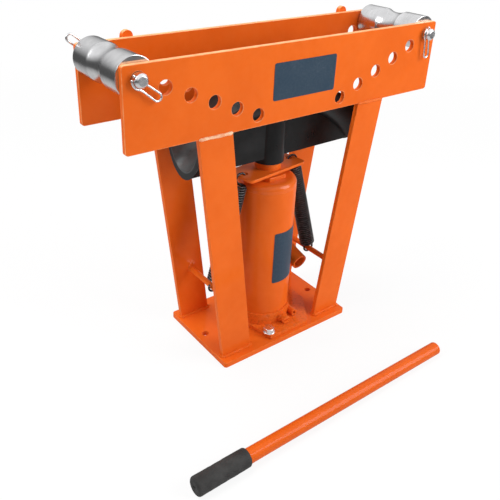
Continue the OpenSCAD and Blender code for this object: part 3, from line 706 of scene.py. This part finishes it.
def leg_welds(leg, butt):
    """A bead on each face where the leg meets its side plate, and a fillet round its foot."""
    corners = nodes[leg].data.vertices
    low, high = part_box(leg)
    top = [v.co.x for v in corners if v.co.z > high.z - EDGE_WIDTH]
    foot = [v.co.x for v in corners if v.co.z < low.z + EDGE_WIDTH]
    for face, y, out in (("front", low.y, -1), ("rear", high.y, 1)):
        ends = [Vector((x, y, high.z)) for x in (min(top), max(top))]
        outward = Vector((0, out, 0))
        bead(f"{leg}_{face}_weld", ends, BUTT_ACROSS, BUTT_HIGH, lambda p, way=outward: way, butt)
    left, right = min(foot), max(foot)
    around = ((left, low.y), (right, low.y), (right, high.y), (left, high.y))
    loop = [Vector((x, y, low.z)) for x, y in around]
    bead(leg + "_foot_weld", loop, FILLET, FILLET, lambda p: Vector((0, 0, 1)), ENAMEL, closed=True)


def bar_welds(bar):
    """A ring of weld where each end of a spring bar meets its leg."""
    low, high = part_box(bar)
    centre = (low + high) / 2
    radius = high.x - centre.x
    for face, y in (("front", low.y), ("rear", high.y)):
        axis = Vector((centre.x, y, centre.z))
        loop = [axis + radius * Vector((math.cos(a), 0, math.sin(a))) for a in circle(RING_STEPS)]
        name = f"{bar}_{face}_weld"
        bead(name, loop, BAR_FILLET, BAR_FILLET, lambda p, c=axis: (p - c).normalized(), ENAMEL, closed=True)


# The front left leg's butt beads get the painted cream highlight; the others stay orange.
leg_welds("front_left_leg", WELD_GLINT_ENAMEL)
for leg_name in ("front_right_leg", "rear_left_leg", "rear_right_leg"):
    leg_welds(leg_name, WORN_ENAMEL)
for bar_name in ("left_spring_bar", "right_spring_bar"):
    bar_welds(bar_name)


# Bare label plates

LABEL_THICKNESS = 0.0005
LABEL_COLUMNS = 28
LABEL_ROWS = 24
LABEL_CORNER = 0.003
FRONT_LABEL_LEFT = -0.056
FRONT_LABEL_RIGHT = 0.065
FRONT_LABEL_BOTTOM = 0.448
FRONT_LABEL_TOP = 0.5035
JACK_LABEL_BOTTOM = 0.104
JACK_LABEL_TOP = 0.203
JACK_LABEL_START = math.radians(-108)
JACK_LABEL_END = math.radians(-8)


def label_points(width, height):
    """Rows of (along, up) points of a sheet with rounded corners, closer together near its ends."""
    points = []
    for j in range(LABEL_ROWS + 1):
        up = height * (0.5 - 0.5 * math.cos(math.pi * j / LABEL_ROWS))
        past = max(0.0, LABEL_CORNER - min(up, height - up))
        half = width / 2 - LABEL_CORNER + math.sqrt(max(0.0, LABEL_CORNER ** 2 - past ** 2))
        points += [(half * (2 * i / LABEL_COLUMNS - 1), up) for i in range(LABEL_COLUMNS + 1)]
    return points


def label_faces():
    """Faces of both sides of a sheet, and of the rim between them."""
    across = LABEL_COLUMNS + 1
    layer = across * (LABEL_ROWS + 1)
    faces = []
    for base in (0, layer):
        for j in range(LABEL_ROWS):
            for i in range(LABEL_COLUMNS):
                a = base + j * across + i
                faces.append((a, a + 1, a + across + 1, a + across))
    rim = list(range(LABEL_COLUMNS))
    rim += [j * across + LABEL_COLUMNS for j in range(LABEL_ROWS)]
    rim += [LABEL_ROWS * across + i for i in range(LABEL_COLUMNS, 0, -1)]
    rim += [j * across for j in range(LABEL_ROWS, 0, -1)]
    for a, b in zip(rim, rim[1:] + rim[:1]):
        faces.append((a, b, b + layer, a + layer))
    return faces


def label(name, width, height, put):
    """Thin sheet with rounded corners; put turns (along, up, out) into a place."""
    sheet = label_points(width, height)
    points = [put(along, up, out) for out in (0.0, LABEL_THICKNESS) for along, up in sheet]
    piece(name, points, label_faces(), VINYL, "frame", smooth=False)


def front_label():
    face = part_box("front_side_plate")[0].y
    centre = (FRONT_LABEL_LEFT + FRONT_LABEL_RIGHT) / 2

    def put(along, up, out):
        return Vector((centre + along, face - out, FRONT_LABEL_BOTTOM + up))

    width = FRONT_LABEL_RIGHT - FRONT_LABEL_LEFT
    label("front_label_plate", width, FRONT_LABEL_TOP - FRONT_LABEL_BOTTOM, put)


def jack_label():
    low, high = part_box("reservoir_tube")
    radius = (high.x - low.x) / 2
    turn = (JACK_LABEL_START + JACK_LABEL_END) / 2

    def put(along, up, out):
        a = turn + along / radius
        r = radius + out
        return Vector((r * math.cos(a), r * math.sin(a), JACK_LABEL_BOTTOM + up))

    width = (JACK_LABEL_END - JACK_LABEL_START) * radius
    label("jack_label_plate", width, JACK_LABEL_TOP - JACK_LABEL_BOTTOM, put)


front_label()
jack_label()


# Flange bolts: chamfered hexagon heads on turned washers

HEX_SIDES = 6
HEX_STEPS = 8
SHANK_RADIUS = 0.004
WASHER_HEIGHT = 0.002
EDGE_BREAK = 0.0004
HEAD_HEIGHT = 0.007
HEAD_FLAT = 0.0085
HEAD_LIFT = 0.0005
HEAD_CHAMFER = math.tan(math.radians(28))
NECK_RADIUS = 0.97 * HEAD_FLAT
CROWN_RADIUS = 0.94 * HEAD_FLAT
CROWN_DROP = 0.0002
CROWN_RINGS = (CROWN_RADIUS, 0.5 * HEAD_FLAT, 0.1 * HEAD_FLAT)


def hexagon(flat, turn):
    """Distance of a hexagon's edge from its middle, in a direction."""
    sector = math.tau / HEX_SIDES
    return flat / math.cos((turn + sector / 2) % sector - sector / 2)


def hex_ring(sides, height):
    """Ring round the bolt's head; height gives a point's height from its distance to the middle."""
    ring = []
    for a in circle(sides):
        r = hexagon(HEAD_FLAT, a)
        ring.append(Vector((r * math.cos(a), r * math.sin(a), height(r))))
    return ring


def flange_bolt(node):
    low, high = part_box(node)
    washer = (high.x - low.x) / 2
    top = high.z
    seat = top - HEAD_HEIGHT
    foot = seat - WASHER_HEIGHT
    sides = HEX_SIDES * HEX_STEPS
    profile = [(SHANK_RADIUS, foot), (washer, foot), (washer, seat - EDGE_BREAK), (washer - EDGE_BREAK, seat)]
    profile += [(NECK_RADIUS, seat), (NECK_RADIUS, seat + EDGE_BREAK)]
    rings = turned(profile, sides)
    rings.append(hex_ring(sides, lambda r: seat + HEAD_LIFT))
    rings.append(hex_ring(sides, lambda r: top - CROWN_DROP - (r - CROWN_RADIUS) * HEAD_CHAMFER))
    rings += turned([(r, top) for r in CROWN_RINGS], sides)
    points, faces = rings_mesh(rings)
    middle = Vector(((low.x + high.x) / 2, (low.y + high.y) / 2, 0))
    obj = piece(node + "_hex", [p + middle for p in points], faces, ZINC, "frame", smooth=False)
    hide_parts(node)


flange_bolt("front_jack_bolt")
flange_bolt("rear_jack_bolt")


# Foam grip

GRIP_SIDES = 64
GRIP_STEPS = 40
GRIP_ROUND_STEPS = 8
GRIP_END = 0.0042
GRIP_MOUTH = 0.0036
GRIP_VENT = 0.0025
GRIP_VENT_EDGE = 0.0006
GRIP_HOLE_DEPTH = 0.004
GRIP_BORE_ROOM = 0.0001
GRIP_LUMP = 0.00028
GRIP_LUMP_SCALE = 120.0
GRIP_FINE_SHARE = 0.6
GRIP_FINE_SCALE = 300.0


def grip_profile(length, radius, bore):
    """The sleeve as (radius, distance) points: vent, round closed end, skin, round mouth and bore."""
    turns = [math.pi / 2 * i / GRIP_ROUND_STEPS for i in range(GRIP_ROUND_STEPS + 1)]
    end = radius - GRIP_END
    mouth = radius - GRIP_MOUTH
    skin = length - 2 * GRIP_END
    start_mouth = length - GRIP_MOUTH
    profile = [(GRIP_VENT, GRIP_HOLE_DEPTH), (GRIP_VENT, GRIP_VENT_EDGE), (GRIP_VENT + GRIP_VENT_EDGE, 0.0)]
    profile += [(end + GRIP_END * math.sin(a), GRIP_END - GRIP_END * math.cos(a)) for a in turns]
    profile += [(radius, GRIP_END + skin * i / GRIP_STEPS) for i in range(1, GRIP_STEPS)]
    profile += [(mouth + GRIP_MOUTH * math.cos(a), start_mouth + GRIP_MOUTH * math.sin(a)) for a in turns]
    return profile + [(bore, length), (bore, length - GRIP_HOLE_DEPTH)]


def grip_lump(point):
    """How far the foam's skin stands out at a point."""
    fine = GRIP_FINE_SHARE * noise.noise(point * GRIP_FINE_SCALE)
    return GRIP_LUMP * (noise.noise(point * GRIP_LUMP_SCALE) + fine)


def foam_grip():
    """Foam sleeve with a round closed end, a small vent hole and an uneven skin."""
    low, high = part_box("handle_grip")
    tube_low, tube_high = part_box("handle_tube")
    centre = (low + high) / 2
    bore = (tube_high.y - tube_low.y) / 2 + GRIP_BORE_ROOM
    profile = grip_profile(high.x - low.x, (high.y - low.y) / 2, bore)
    points, faces = rings_mesh(turned(profile, GRIP_SIDES))
    placed = []
    for p in points:
        out = Vector((p.x, p.y, 0))
        q = p + out.normalized() * grip_lump(p) if out.length > bore else p
        placed.append(Vector((low.x + q.z, centre.y + q.x, centre.z + q.y)))
    obj = piece("foam_grip", placed, faces, GRIP_FOAM, "handle")
    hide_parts("handle_grip")


foam_grip()


# Camera, fitted to the photograph's 500 pixel frame

IMAGE_PIXELS = 500
FOCAL_PIXELS = 622.94
CENTRE_PIXEL = (232.07, 199.58)
CAMERA_PLACE = (-0.6211, -0.7331, 0.7258)
CAMERA_AZIMUTH = math.radians(-36.84)
CAMERA_ELEVATION = math.radians(26.77)
CAMERA_ROLL = math.radians(1.81)
SENSOR_WIDTH = 36.0


def camera_turn():
    """The camera's right, up and back directions as the columns of a matrix."""
    a, e = CAMERA_AZIMUTH, CAMERA_ELEVATION
    back = Vector((math.sin(a) * math.cos(e), -math.cos(a) * math.cos(e), math.sin(e)))
    right = Vector((math.cos(a), math.sin(a), 0))
    up = back.cross(right)
    c, s = math.cos(CAMERA_ROLL), math.sin(CAMERA_ROLL)
    return Matrix((c * right + s * up, c * up - s * right, back)).transposed()


def make_camera():
    data = bpy.data.cameras.new("camera")
    data.sensor_width = SENSOR_WIDTH
    data.lens = FOCAL_PIXELS / IMAGE_PIXELS * SENSOR_WIDTH
    data.shift_x = 0.5 - CENTRE_PIXEL[0] / IMAGE_PIXELS
    data.shift_y = CENTRE_PIXEL[1] / IMAGE_PIXELS - 0.5
    camera = bpy.data.objects.new("camera", data)
    camera.matrix_world = Matrix.Translation(CAMERA_PLACE) @ camera_turn().to_4x4()
    bpy.context.scene.collection.objects.link(camera)
    bpy.context.scene.camera = camera


make_camera()


# Stage: pale floor, soft lamps and a white surround

FLOOR_HALF = 12.0
FLOOR_WHITE = (0.86, 0.86, 0.86, 1)
FLOOR_GLOW_SHARES = (0.89, 1.0)
FLOOR_FADE = (0.9, 2.0)
MIRRORED_FLOOR = 0.62
SKY_HEIGHTS = (-0.15, 0.75)
SKY_LEVELS = (0.16, 0.52)
MIRRORED_HEIGHTS = (0.06, 0.52)
MIRRORED_DIM = 0.09


def background_rays(tree):
    """One for rays straight from the camera, and one for rays that are mirrored or let through."""
    path = add(tree, "ShaderNodeLightPath").outputs
    mirrored = math_node(tree, "MAXIMUM", path["Is Glossy Ray"], path["Is Transmission Ray"])
    return path["Is Camera Ray"], mirrored


def floor_material():
    """White where it is seen; its mirror image dims with distance, and lamps still shade it."""
    material = bpy.data.materials.new("floor_white")
    material.use_nodes = True
    tree = material.node_tree
    tree.nodes.clear()
    diffuse = add(tree, "ShaderNodeBsdfDiffuse", {"Color": FLOOR_WHITE}).outputs[0]
    straight, mirrored = background_rays(tree)
    away = length_of(tree, add(tree, "ShaderNodeTexCoord").outputs["Object"])
    dimmed = ranged(tree, away, *FLOOR_FADE, MIRRORED_FLOOR, MIRRORED_DIM)
    level = math_node(tree, "MAXIMUM", straight, dimmed)
    glow = add(tree, "ShaderNodeEmission", {"Color": WHITE, "Strength": level}).outputs[0]
    seen = math_node(tree, "MAXIMUM", straight, mirrored)
    share = math_node(tree, "MULTIPLY", seen, ranged(tree, away, *FLOOR_FADE, *FLOOR_GLOW_SHARES))
    blend = add(tree, "ShaderNodeMixShader", {0: share, 1: diffuse, 2: glow}).outputs[0]
    add(tree, "ShaderNodeOutputMaterial", {"Surface": blend})
    return material


def make_floor():
    corners = [(x * FLOOR_HALF, y * FLOOR_HALF, 0) for x, y in ((-1, -1), (1, -1), (1, 1), (-1, 1))]
    obj = piece("floor", corners, [(0, 1, 2, 3)], floor_material())


def make_world():
    """White where the camera looks at it and overhead in mirrors; a dim room for all other light."""
    world = bpy.data.worlds.new("surround")
    world.use_nodes = True
    tree = world.node_tree
    tree.nodes.clear()
    direction = add(tree, "ShaderNodeTexCoord").outputs["Generated"]
    height = parts_of(tree, direction)["Z"]
    straight, mirrored = background_rays(tree)
    room = ranged(tree, height, *SKY_HEIGHTS, *SKY_LEVELS)
    mirror = ranged(tree, height, *MIRRORED_HEIGHTS, MIRRORED_DIM, 1.0)
    share = add(tree, "ShaderNodeMix", {0: mirrored, 2: room, 3: mirror}, data_type="FLOAT").outputs[0]
    strength = math_node(tree, "MAXIMUM", straight, share)
    back = add(tree, "ShaderNodeBackground", {"Color": WHITE, "Strength": strength}).outputs[0]
    add(tree, "ShaderNodeOutputWorld", {"Surface": back})
    bpy.context.scene.world = world


def lamp(name, place, aim, size, power, mirrored=True):
    data = bpy.data.lights.new(name, "AREA")
    data.shape = "RECTANGLE"
    data.size, data.size_y = size
    data.energy = power
    obj = bpy.data.objects.new(name, data)
    obj.visible_glossy = mirrored
    obj.location = place
    obj.rotation_euler = (Vector(aim) - Vector(place)).to_track_quat("-Z", "Y").to_euler()
    bpy.context.scene.collection.objects.link(obj)


make_floor()
make_world()
lamp("key_lamp", place=(1.55, -1.75, 1.35), aim=(0, 0, 0.28), size=(1.4, 1.9), power=47.0)
lamp("top_lamp", place=(-0.6, 0.45, 2.4), aim=(0, 0, 0.2), size=(1.4, 1.0), power=31.0, mirrored=False)
lamp("left_lamp", place=(-1.9, 0.25, 1.8), aim=(0, 0, 0.1), size=(0.8, 1.2), power=16.0)

bpy.context.scene.view_settings.view_transform = "Standard"
